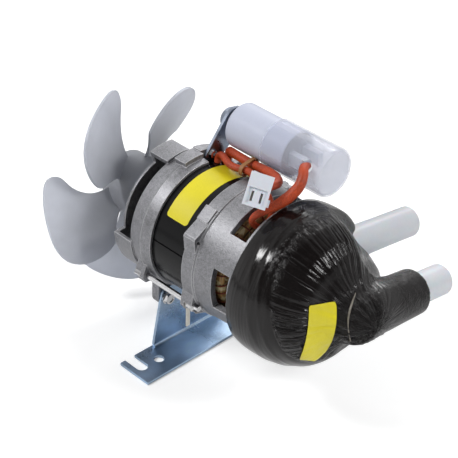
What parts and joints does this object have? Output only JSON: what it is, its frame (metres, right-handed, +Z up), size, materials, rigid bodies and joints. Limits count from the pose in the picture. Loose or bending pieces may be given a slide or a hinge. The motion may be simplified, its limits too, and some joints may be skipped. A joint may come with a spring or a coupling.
{
  "type": "circulation pump",
  "caption": "Small motor-driven circulation pump with an insulated plastic head, a rear cooling fan, a run capacitor on an arm and a bent sheet-metal foot.",
  "frame": {"origin": "underside of the foot, midway between its two bolt holes", "axes": "+X along the drive axis from the fan towards the pump head, +Y along the spigots towards their open ends, +Z up from the foot"},
  "size_m": [0.2306, 0.1687, 0.1665],
  "materials": {
    "cast_aluminium": "rough cast",
    "black_core": "satin black lacquer",
    "winding_lacquer": "enamelled wire and varnish",
    "blue_zinc": "blue zinc plate",
    "bright_zinc": "bright zinc plate",
    "steel": "ground",
    "bearing_steel": "polished",
    "tinned_brass": "tinned",
    "brass": "turned",
    "rotor_aluminium": "die cast and turned",
    "fan_plastic": "translucent",
    "pump_plastic": "milky",
    "impeller_plastic": "moulded",
    "black_rubber": "moulded",
    "ceramic": "lapped",
    "carbon": "lapped carbon",
    "black_film": "wrinkled film over foam",
    "capacitor_shell": "satin",
    "capacitor_end": "moulded",
    "label_film": "smooth",
    "clear_cap": "translucent",
    "red_sleeving": "woven sleeving",
    "white_nylon": "moulded",
    "tan_nylon": "moulded"
  },
  "bodies": {
    "frame": {"mounting_bracket": "blue_zinc", "bracket_bolts": "bright_zinc", "bracket_washers": "bright_zinc", "rear_shield": "cast_aluminium", "front_shield": "cast_aluminium", "stator_core": "black_core", "windings": "winding_lacquer", "tie_rods": "bright_zinc", "tie_rod_nuts": "bright_zinc", "tie_rod_washers": "steel", "earth_tab": "tinned_brass", "rear_bearing_outer": "bearing_steel", "rear_bearing_balls": "bearing_steel", "front_bearing_outer": "bearing_steel", "front_bearing_balls": "bearing_steel", "wave_washer": "steel", "pump_back_plate": "pump_plastic", "back_plate_screws": "steel", "chamber_gasket": "black_rubber", "pump_casing": "pump_plastic", "casing_screws": "steel", "inlet_elbow": "pump_plastic", "inlet_oring": "black_rubber", "seal_cup": "black_rubber", "seal_seat": "ceramic", "insulation_jacket": "black_film", "inlet_sleeve": "black_film", "capacitor_arm": "bright_zinc", "arm_screw": "bright_zinc", "capacitor_can": "capacitor_shell", "capacitor_stud": "bright_zinc", "capacitor_nut": "bright_zinc", "capacitor_washer": "steel", "capacitor_disc": "capacitor_end", "capacitor_terminals": "tinned_brass", "terminal_boots": "white_nylon", "capacitor_cap": "clear_cap", "capacitor_lead": "red_sleeving", "bridge_lead": "red_sleeving", "supply_lead": "red_sleeving", "cable_tie": "tan_nylon", "connector_housing": "white_nylon", "connector_contacts": "tinned_brass"},
    "rotor": {"rotor_shaft": "steel", "rotor_core": "rotor_aluminium", "rear_bearing_inner": "bearing_steel", "front_bearing_inner": "bearing_steel", "fan": "fan_plastic", "fan_clip": "steel", "seal_face": "carbon", "seal_bellows": "black_rubber", "seal_spring": "steel", "impeller": "impeller_plastic", "impeller_insert": "brass"}
  },
  "joints": [
    {"name": "drive_spin", "type": "hinge", "parent": "frame", "child": "rotor", "pos_m": [0, 0, 0.09], "axis": [1, 0, 0], "continuous": true}
  ]
}
